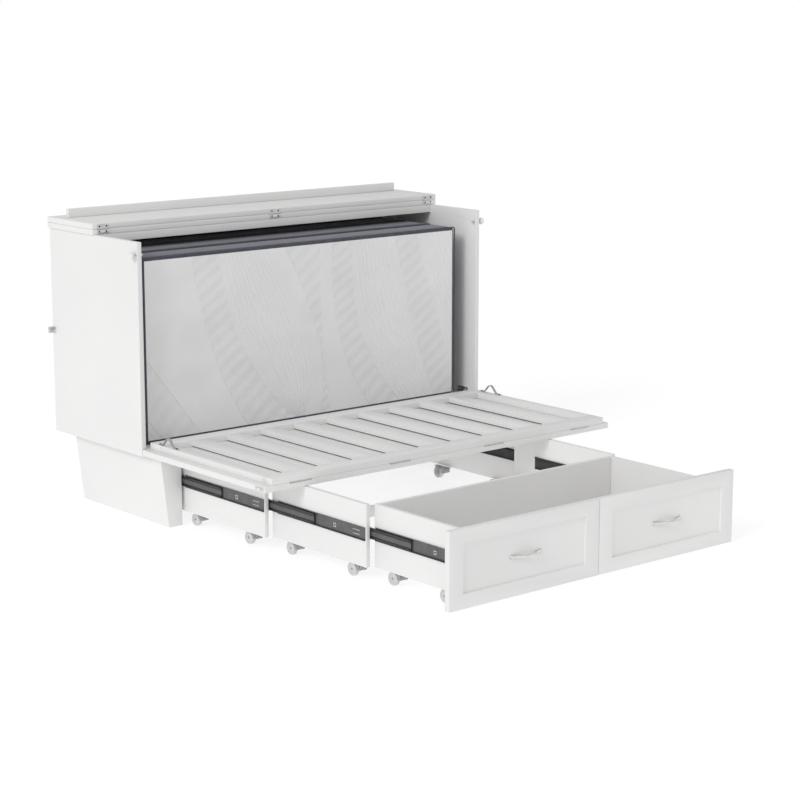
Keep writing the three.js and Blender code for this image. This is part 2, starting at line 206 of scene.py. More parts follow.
PAINT = surface("white satin paint", (grey(0.790, 0.004), grey(0.815, 0.006)), 2.2,
                (0.40, 0.50), 420, 0.00006, sockets={"Specular IOR Level": 0.4})
NICKEL = surface("satin nickel", (grey(0.66, 0.01), grey(0.74, 0.012)), 60,
                 (0.24, 0.36), 900, 0.00002, (0.08, 1, 1), {"Metallic": 1.0})
ZINC = surface("bright zinc", (grey(0.62, -0.01), grey(0.72, -0.01)), 90,
               (0.28, 0.42), 700, 0.00003, sockets={"Metallic": 1.0})
SLIDE_STEEL = surface("grey slide steel", (grey(0.105), grey(0.135)), 25,
                      (0.38, 0.50), 650, 0.00002, (1, 0.05, 1), {"Metallic": 0.35})
BLACK_COAT = surface("black slide coat", (grey(0.016), grey(0.026)), 30,
                     (0.34, 0.46), 650, 0.00002, (1, 0.05, 1), {"Metallic": 0.2})
CASTER_PLASTIC = surface("pale caster plastic", (grey(0.56, -0.012), grey(0.64, -0.012)), 40,
                         (0.30, 0.42), 300, 0.00004)
BRACKET_STEEL = surface("caster bracket steel", (grey(0.30), grey(0.38)), 50,
                        (0.32, 0.45), 500, 0.00003, sockets={"Metallic": 0.7})
KNOB_PLASTIC = surface("white knob plastic", (grey(0.76), grey(0.80)), 50,
                       (0.22, 0.32), 260, 0.00003, sockets={"Coat Weight": 0.3})
# Near-black used only for the strips of painted shade under the slats
SHADE_DARK = surface("painted shade dark", (grey(0.035), grey(0.05)), 60, (0.6, 0.75), 500, 0.00004)


def webbing():
    """Grey woven strap: crossing ribs, with a rough matt thread."""
    material = surface("grey webbing", (grey(0.34), grey(0.44)), 120, (0.8, 0.95), 900, 0.0001,
                       sockets={"Sheen Weight": 0.3})
    tree = material.node_tree
    shader = tree.nodes["Principled BSDF"]
    place = add(tree, "ShaderNodeTexCoord").outputs["Object"]
    ribs = [add(tree, "ShaderNodeTexWave", {"Vector": place, "Scale": scale, "Distortion": 0.4},
                bands_direction=axis).outputs["Fac"] for axis, scale in (("Y", 160), ("X", 210))]
    height = calc(tree, "MULTIPLY", *ribs)
    bump = add(tree, "ShaderNodeBump", {"Height": height, "Distance": 0.0004, "Strength": 0.9})
    tree.links.new(bump.outputs[0], shader.inputs["Normal"])
    return material


def knit():
    """White quilted knit: swept groups of stitched lines between ribbed bands, with painted shade in the
    ribs' grooves.
    """
    material = surface("quilted knit", (grey(0.78, -0.003), grey(0.82, -0.003)), 7, (0.86, 0.98), 900, 0.0002,
                       sockets={"Sheen Weight": 0.2, "Sheen Roughness": 0.5, "Specular IOR Level": 0.15})
    tree = material.node_tree
    shader = tree.nodes["Principled BSDF"]
    place = add(tree, "ShaderNodeTexCoord").outputs["Object"]
    across, along, lines, ribs = [add(tree, "ShaderNodeAttribute", attribute_name=name).outputs["Fac"]
                                  for name in ("line_phase", "rib_phase", "lines", "ribs")]
    stitch = remap(tree, calc(tree, "PINGPONG", across, 0.5), (0.04, 0.16), (1, 0), smooth=True)
    rib = remap(tree, calc(tree, "PINGPONG", along, 0.5), (0.05, 0.45), (0, 1), smooth=True)
    thread = add(tree, "ShaderNodeTexVoronoi", {"Vector": place, "Scale": 380.0}).outputs["Distance"]
    stitched = calc(tree, "MULTIPLY", stitch, lines)
    pattern = calc(tree, "SUBTRACT", stitched, calc(tree, "MULTIPLY", rib, ribs))
    height = calc(tree, "ADD", pattern, calc(tree, "MULTIPLY", thread, 0.25))
    bump = add(tree, "ShaderNodeBump", {"Height": height, "Distance": 0.0011, "Strength": 1.0})
    tree.links.new(bump.outputs[0], shader.inputs["Normal"])
    base = shader.inputs["Base Color"].links[0].from_socket
    raised = blend_colours(tree, calc(tree, "MULTIPLY", stitched, 0.7), base, grey(0.90))
    # The ribbed bands a little darker throughout and darker still in each groove: painted shade in the
    # grooves
    sunk = calc(tree, "MULTIPLY", calc(tree, "MULTIPLY", calc(tree, "ADD", rib, 0.5), ribs), 0.11)
    tree.links.new(blend_colours(tree, sunk, raised, grey(0.55)), shader.inputs["Base Color"])
    return material


def border():
    """Slate border of the mattress, with pale stripes running round it."""
    material = surface("slate border", ((0.072, 0.072, 0.100, 1), (0.100, 0.100, 0.134, 1)), 30,
                       (0.85, 0.97), 800, 0.0002, sockets={"Sheen Weight": 0.3, "Specular IOR Level": 0.15})
    tree = material.node_tree
    shader = tree.nodes["Principled BSDF"]
    place = add(tree, "ShaderNodeTexCoord").outputs["Object"]
    depth = add(tree, "ShaderNodeSeparateXYZ", {0: place}).outputs[1]
    stripe = remap(tree, calc(tree, "PINGPONG", depth, 0.013), (0.0095, 0.0115), (0, 1), smooth=True)
    pinstripe = remap(tree, calc(tree, "PINGPONG", depth, 0.0022), (0, 0.0022), (0, 0.25))
    factor = calc(tree, "ADD", calc(tree, "MULTIPLY", stripe, 0.6), pinstripe)
    base = shader.inputs["Base Color"].links[0].from_socket
    tree.links.new(blend_colours(tree, factor, base, (0.19, 0.19, 0.25, 1)), shader.inputs["Base Color"])
    bump = add(tree, "ShaderNodeBump", {"Height": factor, "Distance": 0.0006, "Strength": 0.8})
    tree.links.new(bump.outputs[0], shader.inputs["Normal"])
    return material


WEBBING = webbing()
KNIT = knit()
BORDER = border()
PIPING = surface("slate piping", (grey(0.07, -0.1), grey(0.10, -0.1)), 60, (0.8, 0.95), 700, 0.0002)


# ---------------------------------------------------------------- making pieces

def piece(bm, name, body, material, replaces=()):
    """A finished object from a bmesh, riding on a body of the frame."""
    bmesh.ops.recalc_face_normals(bm, faces=bm.faces)
    mesh = bpy.data.meshes.new(name)
    bm.to_mesh(mesh)
    bm.free()
    mesh.materials.append(material)
    mesh.polygons.foreach_set("use_smooth", [True] * len(mesh.polygons))
    mesh.set_sharp_from_angle(angle=SHARP)
    made = bpy.data.objects.new(name, mesh)
    bpy.context.scene.collection.objects.link(made)
    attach(made, body)
    if replaces:
        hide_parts(*replaces)
    return made


def ease(bm, edges, width, segments=3):
    """Rounds edges with a bevel."""
    bmesh.ops.bevel(bm, geom=list(edges), offset=width, offset_type="OFFSET", segments=segments,
                    profile=0.5, affect="EDGES", clamp_overlap=True, material=-1)


def slab(bm, low, high, width=0.0, segments=2):
    """A block between two corners, its edges rounded by width."""
    low, high = Vector(map(min, low, high)), Vector(map(max, low, high))
    place = Matrix.Translation((low + high) / 2) @ Matrix.Diagonal((*(high - low), 1))
    made = bmesh.ops.create_cube(bm, size=1, matrix=place)["verts"]
    if width:
        ease(bm, {edge for corner in made for edge in corner.link_edges}, width, segments)


def rod(bm, start, end, radius, segments=20):
    """A round bar between two points."""
    start, end = Vector(start), Vector(end)
    turn = UP.rotation_difference(end - start).to_matrix().to_4x4()
    bmesh.ops.create_cone(bm, cap_ends=True, segments=segments, radius1=radius, radius2=radius,
                          depth=(end - start).length, matrix=Matrix.Translation((start + end) / 2) @ turn)


def screw(bm, centre, axis, radius, proud=0.45):
    """A round screw head with a sunk drive socket, standing proud by a share of its radius."""
    axis = Vector(axis)
    height = proud * radius
    turn = UP.rotation_difference(axis).to_matrix().to_4x4()
    place = Matrix.Translation(Vector(centre) + height / 2 * axis) @ turn
    made = bmesh.ops.create_cone(bm, cap_ends=True, segments=16, radius1=radius,
                                 radius2=0.8 * radius, depth=height, matrix=place)["verts"]
    faces = {face for corner in made for face in corner.link_faces}
    top = max(faces, key=lambda face: face.calc_center_median().dot(axis))
    bmesh.ops.inset_individual(bm, faces=[top], thickness=0.35 * radius)
    bmesh.ops.translate(bm, verts=top.verts, vec=-0.7 * height * axis)


def turned(bm, profile, centre, side, steps=48):
    """A profile of (radius, distance along x) points, spun about x."""
    centre = Vector(centre)
    corners = [bm.verts.new(centre + Vector((side * along, 0, radius))) for radius, along in profile]
    edges = [bm.edges.new(pair) for pair in zip(corners, corners[1:])]
    bmesh.ops.spin(bm, geom=corners + edges, cent=centre, axis=(1, 0, 0), angle=math.tau,
                   steps=steps, use_merge=True)
    bmesh.ops.remove_doubles(bm, verts=bm.verts, dist=SAME_PLACE)


def merged_copy(node):
    """A frame node's mesh with its triangles joined into whole faces."""
    bm = bmesh.new()
    bm.from_mesh(frame["nodes"][node].data)
    bmesh.ops.remove_doubles(bm, verts=bm.verts, dist=SAME_PLACE)
    bmesh.ops.dissolve_limit(bm, angle_limit=math.radians(1), verts=bm.verts, edges=bm.edges)
    return bm


def eased_copy(node, width, material, suffix="board", segments=3):
    """A frame node's shape with every sharp edge rounded."""
    bm = merged_copy(node)
    ease(bm, [e for e in bm.edges if e.is_manifold and e.calc_face_angle() > SHARP], width, segments)
    return piece(bm, f"{node}_{suffix}", HOME[node], material, [node])


def mirrored(side, near, far):
    """A range in x on one side of the bed."""
    return (near, far) if side > 0 else (-far, -near)


# ---------------------------------------------------------------- boards

def boards():
    """Every painted board, with the ease that its edge has."""
    for node, body in HOME.items():
        slot = next(s["material_slot"] for s in frame["record"]["subparts"] if s["node"] == node)
        if slot == "painted_wood" and node != "foot_slat_frame":
            eased_copy(node, OTHER_EASES.get(node, BOARD_EASE), PAINT)


def foot_panel():
    """The slatted frame: rails with slats let in between them, each board eased, and a dark strip under each
    slat as painted shade in the gap beneath it.
    """
    low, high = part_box("foot_slat_frame")
    bm, shade_strip = bmesh.new(), bmesh.new()
    front, rear = low.y + FRONT_RAIL, high.y - REAR_RAIL
    slab(bm, (low.x, rear, low.z), high, SLAT_EASE)
    slab(bm, low, (high.x, front, high.z), SLAT_EASE)
    for _, side in SIDES:
        x = mirrored(side, high.x - SIDE_RAIL, high.x)
        slab(bm, (x[0], front, low.z), (x[1], rear, high.z), SLAT_EASE)
    inner = high.x - SIDE_RAIL
    space = (2 * inner - SLAT_COUNT * SLAT_WIDTH) / (SLAT_COUNT + 1)
    for slat in range(SLAT_COUNT):
        start = -inner + space + slat * (SLAT_WIDTH + space)
        end = start + SLAT_WIDTH
        slab(bm, (start, front, low.z + SHADE_STRIP_HEIGHT), (end, rear, high.z), SLAT_EASE)
        # A dark strip in the gap under each slat: painted shade
        slab(shade_strip, (start + SHADE_STRIP_INSET, front, low.z), (end - SHADE_STRIP_INSET, rear, low.z + SHADE_STRIP_HEIGHT))
    piece(bm, "foot_slats", "foot_panel", PAINT, ["foot_slat_frame"])
    piece(shade_strip, "foot_slat_shade_strips", "foot_panel", SHADE_DARK)

    ring = [(0.0050, -0.004), (0.0050, 0.0006), (0.0058, 0.0010), (0.0074, 0.0010), (0.0080, 0.0003),
            (0.0080, -0.004), (0.0050, -0.004)]
    for label, side in SIDES:
        bm = bmesh.new()
        middle = (side * high.x, low.y + STRIKE_SET_IN, (low.z + high.z) / 2)
        turned(bm, ring, middle, side, 32)
        piece(bm, f"strike_bush_{label}", "foot_panel", NICKEL)


def pull_loops():
    """Webbing loops for lifting the foot panel, each foot held by a screw and washer."""
    washer = Vector((0, 0, 0.0006))
    for label, _ in SIDES:
        node = f"pull_loop_{label}"
        eased_copy(node, 0.0006, WEBBING, "strap", 2)
        low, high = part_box(node)
        bm = bmesh.new()
        for y in (low.y + LOOP_SCREW_SET_IN, high.y - LOOP_SCREW_SET_IN):
            foot = Vector(((low.x + high.x) / 2, y, low.z + STRAP_THICKNESS))
            rod(bm, foot, foot + washer, 0.0048)
            screw(bm, foot + washer, (0, 0, 1), 0.0034)
        piece(bm, f"pull_loop_{label}_screws", "foot_panel", BLACK_COAT)


# ---------------------------------------------------------------- hinges and locks

def lid_hinges():
    """The fixed leaf of each lid hinge, the screws of both leaves and the knuckle's pin."""
    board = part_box("top_board")[0].y
    face = board - KNUCKLE_RADIUS
    for label in ("left", "center", "right"):
        node = f"lid_hinge_{label}"
        eased_copy(node, LEAF_EASE, NICKEL, "leaf", 2)
        low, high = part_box(node)
        axis = low + Vector((0, KNUCKLE_RADIUS, KNUCKLE_RADIUS))
        fixed, moving, dark = bmesh.new(), bmesh.new(), bmesh.new()
        slab(fixed, (low.x, face, axis.z - LEAF_HEIGHT), (high.x, board - CLEARANCE, axis.z - 0.0022),
             LEAF_EASE)
        for x in (low.x + LEAF_SCREW_SET_IN, high.x - LEAF_SCREW_SET_IN):
            screw(dark, (x, face, axis.z - LEAF_SCREW_HEIGHT), (0, -1, 0), 0.0036, NEARLY_FLUSH)
            screw(moving, (x, face, axis.z + LEAF_SCREW_HEIGHT), (0, -1, 0), 0.0036, NEARLY_FLUSH)
        rod(fixed, (low.x - PIN_END, axis.y, axis.z), (high.x + PIN_END, axis.y, axis.z), 0.0010)
        piece(fixed, f"{node}_fixed_leaf", "cabinet", NICKEL)
        piece(dark, f"{node}_fixed_screws", "cabinet", BLACK_COAT)
        piece(moving, f"{node}_screws", "lid", BLACK_COAT)


def panel_hinges():
    """The long hinges between the front panel and the deck."""
    for label, _ in SIDES:
        eased_copy(f"panel_hinge_{label}", LEAF_EASE, NICKEL, "leaf", 2)


def fold_hinges():
    """Slim barrels let in at the front edge, where the foot panel turns on the front panel, with a black
    strip behind each as painted shade in its slot.
    """
    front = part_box("front_panel")[0].y
    seam = (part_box("front_panel")[1].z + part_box("foot_slat_frame")[0].z) / 2
    bm, dark = bmesh.new(), bmesh.new()
    for x in BARREL_PLACES:
        for step in range(5):
            start = x - 0.045 + step * 0.018
            rod(bm, (start + 0.0004, front - 0.0002, seam), (start + 0.0176, front - 0.0002, seam), 0.0019)
        # A black strip behind the barrels: painted shade in the slot they sit in
        slab(dark, (x - 0.047, front - 0.0006, seam - 0.0027), (x + 0.047, front + 0.004, seam + 0.0001))
    piece(bm, "foot_panel_hinges", "front_panel", NICKEL)
    piece(dark, "foot_panel_hinge_slot_shade", "front_panel", BLACK_COAT)


def panel_fittings():
    """Catch plates on the front panel's edges, and corner plates on the cabinet's inner walls."""
    panel_low, panel_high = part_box("front_panel")
    deck_low, deck_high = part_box("deck_panel")
    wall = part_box("side_panel_right")[0].x
    y = panel_low.y + CATCH_SET_IN
    z = (panel_low.z + panel_high.z) / 2
    plate_face = panel_high.x + PLATE_THICKNESS
    start, end = deck_low.y + 0.040, deck_low.y + 0.100
    foot = deck_high.z + CLEARANCE
    for label, side in SIDES:
        plate, catch, corner = bmesh.new(), bmesh.new(), bmesh.new()
        x = mirrored(side, panel_high.x, plate_face)
        slab(plate, (x[0], y - 0.024, z - 0.0075), (x[1], y + 0.024, z + 0.0075), 0.0005)
        for along in (-0.017, 0.017):
            screw(plate, (side * plate_face, y + along, z), (side, 0, 0), 0.0030)
        x = mirrored(side, panel_high.x + 0.001, panel_high.x + 0.0048)
        slab(catch, (x[0], y - 0.007, z - 0.0055), (x[1], y + 0.007, z + 0.0055), 0.0012)
        piece(plate, f"catch_plate_{label}", "front_panel", NICKEL)
        piece(catch, f"catch_{label}", "front_panel", KNOB_PLASTIC)

        x = mirrored(side, wall - 0.0020, wall - 0.0001)
        slab(corner, (x[0], start, foot), (x[1], end, deck_high.z + 0.022), 0.0006)
        slab(corner, (side * (wall - 0.022), start, foot), (x[1], end, deck_high.z + 0.0023), 0.0006)
        for y_screw in (start + 0.014, end - 0.014):
            screw(corner, (side * (wall - 0.0020), y_screw, deck_high.z + 0.013), (-side, 0, 0), 0.0034)
        piece(corner, f"corner_plate_{label}", "cabinet", ZINC)


def locks():
    """Push knobs: a white turned head on a steel pin, and a flat steel collar on the panel."""
    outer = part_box("side_panel_right")[1].x
    collar_face = outer + 0.0002
    for label, side in SIDES:
        knob, body = f"lock_knob_{label}", f"lock_{label}"
        low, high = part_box(knob)
        tip, end = sorted((abs(low.x), abs(high.x)))
        middle = (0, (low.y + high.y) / 2, (low.z + high.z) / 2)
        neck = end - KNOB_LENGTH
        head, pin, collar = bmesh.new(), bmesh.new(), bmesh.new()
        turned(head, [(0, neck), (0.0085, neck), (0.0100, neck + 0.0008), (0.0128, neck + 0.0042),
                      (0.0139, neck + 0.0066), (0.0140, neck + 0.0098), (0.0132, neck + 0.0122),
                      (0.0112, neck + 0.0137), (0.0080, end), (0, end)], middle, side)
        turned(pin, [(0, tip), (0.0030, tip), (0.0040, tip + 0.001), (0.0040, neck + 0.0002),
                     (0, neck + 0.0002)], middle, side, 32)
        turned(collar, [(0.0047, outer), (0.0085, outer), (0.0083, collar_face), (0.0047, collar_face),
                        (0.0047, outer)], middle, side, 40)
        piece(head, f"{body}_head", body, KNOB_PLASTIC, [knob])
        piece(pin, f"{body}_pin", body, NICKEL)
        piece(collar, f"{body}_collar", "cabinet", NICKEL)


def wall_brackets():
    """Small angle brackets at the rear edges of the sides, for fixing the cabinet to a wall."""
    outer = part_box("side_panel_right")[1]
    foot, head = BRACKET_HEIGHTS
    rear = outer.y - CLEARANCE
    face = outer.x + BRACKET_THICKNESS
    for label, side in SIDES:
        bm = bmesh.new()
        x = mirrored(side, outer.x, face)
        slab(bm, (x[0], outer.y - 0.024, foot), (x[1], rear, head), 0.0005)
        slab(bm, (side * outer.x, outer.y - 0.0023, foot), (side * (outer.x + 0.020), rear, head), 0.0005)
        screw(bm, (side * face, outer.y - 0.013, (foot + head) / 2), (side, 0, 0), 0.0036)
        piece(bm, f"wall_bracket_{label}", "cabinet", ZINC)


# ---------------------------------------------------------------- slides

def dress_slides():
    """The frame's slide parts in their coats, with screws, stops, lock slots and a black strip of painted
    shade along each channel's lower edge.
    """
    for nest in NESTS:
        for label, side in SIDES:
            channel, member = f"slide_{nest}_channel_{label}", f"slide_{nest}_member_{label}"
            for node, material in ((channel, SLIDE_STEEL), (member, BLACK_COAT)):
                target = frame["nodes"][node]
                target.data.materials.clear()
                target.data.materials.append(material)
            low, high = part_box(channel)
            face = (low.x if side > 0 else high.x) + side * SLIDE_WALL
            middle = (low.z + high.z) / 2
            marks, screws, lower_edge_shade = bmesh.new(), bmesh.new(), bmesh.new()
            first = low.y + (0.100 if nest == 3 else 0.162)
            for y in (first, low.y + 0.30, high.y - 0.05):
                x = (face, face + side * 0.0004)
                slab(marks, (x[0], y - 0.0065, middle - 0.0065), (x[1], y + 0.0065, middle + 0.0065))
                screw(screws, (x[1], y, middle), (side, 0, 0), 0.0036)
            if nest < 3:
                start, end = low.y + 0.028, low.y + 0.064
                for z in (middle - 0.007, middle + 0.007):
                    slab(marks, (face, start, z - 0.0011), (face + side * 0.0008, end, z + 0.0011), 0.0003)
            # A black lip along the channel's lower edge: painted shade under the channel
            slab(lower_edge_shade, (face, low.y, low.z), (face + side * 0.0042, high.y, low.z + 0.0038))
            body = HOME[channel]
            piece(lower_edge_shade, f"{channel}_race", body, BLACK_COAT)
            piece(marks, f"{channel}_marks", body, ZINC)
            piece(screws, f"{channel}_screws", body, BLACK_COAT)


def ball_cages():
    """The ball cage of each slide: a slim strip above and below, set with steel balls."""
    for nest in NESTS:
        body = f"slide_{nest}_members"
        for label, side in SIDES:
            low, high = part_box(f"slide_{nest}_member_{label}")
            strip, balls, web = bmesh.new(), bmesh.new(), bmesh.new()
            inner, outer = sorted((abs(low.x), abs(high.x)))
            rib = mirrored(side, inner + 0.00506, inner + 0.0056)
            slab(web, (rib[0], low.y + 0.0005, low.z + 0.0105), (rib[1], high.y - 0.0005, high.z - 0.0105),
                 0.0002)
            piece(web, f"slide_{nest}_web_{label}", body, SLIDE_STEEL)
            x = mirrored(side, inner + 0.0012, outer - 0.0012)
            for z in (low.z + 0.0032, high.z - 0.0044):
                slab(strip, (x[0], low.y + 0.012, z), (x[1], low.y + 0.205, z + 0.0012))
                for step in range(BALL_COUNT):
                    centre = ((x[0] + x[1]) / 2, low.y + 0.022 + step * BALL_PITCH, z + 0.0006)
                    bmesh.ops.create_icosphere(balls, subdivisions=1, radius=BALL_RADIUS,
                                               matrix=Matrix.Translation(centre))
            piece(strip, f"slide_{nest}_cage_{label}", body, SLIDE_STEEL)
            piece(balls, f"slide_{nest}_balls_{label}", body, ZINC)


def outer_channels():
    """The fixed channel of each slide, on the cabinet's base or on the section outside it."""
    holders = {1: ("cabinet", "base_rail", 0.0), 2: ("section_1", "section_1_board_{}", 0.004),
               3: ("section_2", "section_2_board_{}", 0.004)}
    for nest, (body, board, set_back) in holders.items():
        for label, side in SIDES:
            low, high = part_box(f"slide_{nest}_channel_{label}")
            wall = min(abs(low.x), abs(high.x)) - CLEARANCE
            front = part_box(board.format(label))[0].y + set_back
            rear = front + high.y - low.y
            bm = bmesh.new()
            web = mirrored(side, wall + OUTER_WEB[0], wall + OUTER_WEB[1])
            flange = mirrored(side, wall + OUTER_FLANGE, wall + OUTER_WEB[1])
            slab(bm, (web[0], front, low.z), (web[1], rear, high.z), 0.0003)
            slab(bm, (flange[0], front, high.z - SLIDE_WALL), (flange[1], rear, high.z), 0.0003)
            slab(bm, (flange[0], front, low.z), (flange[1], rear, low.z + SLIDE_WALL), 0.0003)
            piece(bm, f"slide_{nest}_outer_{label}", body, BLACK_COAT)


# ---------------------------------------------------------------- casters

def casters():
    """Each wheel, and the bracket that holds it under the side board's edge."""
    holder = {1: "section_1", 2: "section_2", 3: "drawer"}
    for nest in NESTS:
        for label, side in SIDES:
            for end in ("rear", "front"):
                name = f"caster_{nest}_{label}_{end}"
                low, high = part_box(name)
                centre = (low + high) / 2
                wheel = bmesh.new()
                half = (high.x - low.x) / 2
                radius = (high.z - low.z) / 2
                profile = [(0, 0.0068), (0.0052, 0.0068), (0.0060, 0.0056), (0.0150, 0.0050),
                           (0.0164, 0.0070), (0.0205, half), (radius - 0.0012, half - 0.0010),
                           (radius - 0.0001, half - 0.0030)]
                inner_side = [(out, -along) for out, along in reversed(profile)]
                turned(wheel, profile + inner_side, centre, side, 40)
                piece(wheel, f"{name}_wheel", name, CASTER_PLASTIC, [name])
                bracket = caster_bracket(centre, half, high.z + 0.0008, side)
                piece(bracket, f"{name}_bracket", holder[nest], BRACKET_STEEL)


def caster_bracket(centre, half, plate, side):
    """A caster's bracket: a top plate, a cheek on the inner side, an axle and a housing in front."""
    bm = bmesh.new()
    inner, outer = centre.x - side * (half + 0.0018), centre.x + side * (half + 0.0010)
    x, y, z = centre
    slab(bm, (inner, y - 0.010, z - 0.008), (inner + side * 0.0012, y + 0.010, plate), 0.0004)
    slab(bm, (inner, y - 0.064, plate), (outer, y + 0.018, plate + 0.0016), 0.0004)
    slab(bm, (inner, y - 0.040, plate - 0.024), (outer - side * 0.002, y - 0.0255, plate), 0.0015)
    slab(bm, (inner, y - 0.062, plate - 0.017), (outer - side * 0.004, y - 0.040, plate), 0.0020)
    slab(bm, (inner, y - 0.056, plate - 0.013), (outer, y - 0.046, plate - 0.005), 0.0010)
    rod(bm, (x - side * (half + 0.0026), y, z), (x + side * (half - 0.0005), y, z), 0.0042)
    return bm


# ---------------------------------------------------------------- drawer pulls

def drawer_pulls():
    """Bowed handles on round feet."""
    for label, _ in SIDES:
        node = f"drawer_pull_{label}"
        eased_copy(node, 0.0018, NICKEL, "bow", 4)
        low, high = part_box(node)
        z = (low.z + high.z) / 2
        bm = bmesh.new()
        for x in (low.x + PULL_FOOT_SET_IN, high.x - PULL_FOOT_SET_IN):
            place = Matrix.Translation((x, high.y - 0.0027, z)) @ Matrix.Rotation(math.radians(90), 4, "X")
            bmesh.ops.create_cone(bm, cap_ends=True, segments=32, radius1=0.0082, radius2=0.0060,
                                  depth=0.0055, matrix=place)
        piece(bm, f"{node}_feet", "drawer", NICKEL)


# ---------------------------------------------------------------- mattress

def quilting(x, z, top):
    """The quilting at each point of a face: phases across the lines and ribs, and where each is."""
    fall = top - z
    edges = [start + lean * fall + curl * fall ** 3 for start, lean, curl in SWEPT_EDGES]
    found = {name: np.zeros_like(x) for name in ("line_phase", "rib_phase", "lines", "ribs")}
    for kind, left, right in zip(BAND_KINDS, edges, edges[1:]):
        inside = (x > left) & (x < right)
        if kind == "lines":
            count = round(float(np.max(right - left)) / LINE_PITCH)
            found["line_phase"][inside] = (count * (x - left) / (right - left))[inside]
        if kind == "ribs":
            found["rib_phase"][inside] = ((z - RIB_SLANT * (x - left)) / RIB_PITCH)[inside]
        if kind != "plain":
            found[kind][inside] = np.clip(np.minimum(x - left, right - x) / BAND_FADE, 0, 1)[inside]
    return found


def swell(body, rest, seam):
    """Runs pressure cloth on a closed pad whose seams are pinned, and caps how far it moves."""
    near = np.abs(np.abs(rest[:, 1]) - seam) < VOXEL * 0.8
    group = body.vertex_groups.new(name="seam")
    group.add(np.nonzero(near)[0].tolist(), 1.0, "REPLACE")
    cloth = body.modifiers.new("Cloth", "CLOTH")
    cloth.settings.use_pressure = True
    cloth.settings.uniform_pressure_force = 4
    cloth.settings.quality = 4
    cloth.settings.mass = 0.4
    cloth.settings.vertex_group_mass = "seam"
    cloth.settings.effector_weights.gravity = 0
    cloth.collision_settings.use_collision = False
    scene = bpy.context.scene
    for step in range(1, CLOTH_STEPS + 1):
        scene.frame_set(step)
    moved = body.evaluated_get(bpy.context.evaluated_depsgraph_get()).to_mesh()
    place = np.zeros(len(rest) * 3)
    moved.vertices.foreach_get("co", place)
    scene.frame_set(1)
    body.modifiers.clear()
    body.vertex_groups.clear()
    return place.reshape(-1, 3)


def mesh_points(mesh):
    """A mesh's vertex positions as an array."""
    points = np.zeros(len(mesh.vertices) * 3)
    mesh.vertices.foreach_get("co", points)
    return points.reshape(-1, 3)


def baked(body):
    """The object's mesh with its modifiers applied."""
    mesh = bpy.data.meshes.new_from_object(body.evaluated_get(bpy.context.evaluated_depsgraph_get()))
    body.modifiers.clear()
    body.data = mesh
    return mesh


def pad_section(size):
    """One section of the mattress about the origin, with crowned faces between pinned seams."""
    half = size / 2
    seam = half.y - FACE_SWELL
    side, top = half.x - EDGE_SWELL, half.z - EDGE_SWELL
    bm = bmesh.new()
    slab(bm, (-side, -seam, -top), (side, seam, top))
    uprights = [e for e in bm.edges if abs(e.verts[0].co.y - e.verts[1].co.y) > seam]
    ease(bm, uprights, CORNER_RADIUS, 8)
    mesh = bpy.data.meshes.new("pad")
    bm.to_mesh(mesh)
    bm.free()
    body = bpy.data.objects.new("pad", mesh)
    bpy.context.scene.collection.objects.link(body)
    remesh = body.modifiers.new("Remesh", "REMESH")
    remesh.mode = "VOXEL"
    remesh.voxel_size = VOXEL
    mesh = baked(body)
    rest = mesh_points(mesh)
    depth = np.minimum(side - np.abs(rest[:, 0]), top - np.abs(rest[:, 2]))
    crown = np.clip(depth / CROWN_REACH, 0, 1) ** CROWN_POWER
    face = np.abs(rest[:, 1]) > seam - VOXEL * 0.5
    shape = swell(body, rest, seam)
    step = shape - rest
    limit = np.where(face, FACE_SWELL * crown, EDGE_SWELL)[:, None]
    length = np.linalg.norm(step, axis=1)[:, None]
    shape = rest + step * np.minimum(1, limit / np.maximum(length, 1e-9))
    mesh.vertices.foreach_set("co", shape.ravel())
    smooth = body.modifiers.new("Subdivision", "SUBSURF")
    smooth.levels = smooth.render_levels = 1
    mesh = baked(body)
    bpy.data.objects.remove(body)
    return mesh, seam


def seam_piping(name, low, high, y):
    """A cord of piping round the rounded rectangle of one seam."""
    r = CORNER_RADIUS
    centres = ((high.x - r, high.z - r), (low.x + r, high.z - r),
               (low.x + r, low.z + r), (high.x - r, low.z + r))
    path = []
    for quarter, (x, z) in enumerate(centres):
        for step in range(9):
            angle = math.radians(90) * (quarter + step / 8)
            path.append(Vector((x + r * math.cos(angle), y, z + r * math.sin(angle))))
    bm = bmesh.new()
    turns = [math.tau * k / PIPING_SIDES for k in range(PIPING_SIDES)]
    loops = []
    for index, point in enumerate(path):
        along = (path[(index + 1) % len(path)] - path[index - 1]).normalized()
        out = ALONG_Y.cross(along)
        loops.append([bm.verts.new(point + PIPING_RADIUS * (math.cos(turn) * out + math.sin(turn) * ALONG_Y))
                      for turn in turns])
    for first, second in zip(loops, loops[1:] + loops[:1]):
        for k in range(PIPING_SIDES):
            after = (k + 1) % PIPING_SIDES
            bm.faces.new((first[k], first[after], second[after], second[k]))
    return piece(bm, name, "cabinet", PIPING)


def quilt(mesh, points, middle, seam, top):
    """Gives a section's mesh the quilting's attributes, and raises its ribs on the two faces."""
    out = points[:, 1] - middle
    face = np.abs(out) > seam + 0.001
    pattern = quilting(points[:, 0], points[:, 2], top)
    ripple = (-np.cos(math.tau * pattern["rib_phase"]) - 0.4) * pattern["ribs"]
    ripple *= np.clip((np.abs(out) - seam) / FACE_SWELL, 0, 1)
    points[face, 1] += np.sign(out[face]) * RIB_HEIGHT * ripple[face]
    for name, values in pattern.items():
        mesh.attributes.new(name, "FLOAT", "POINT").data.foreach_set("value", values)


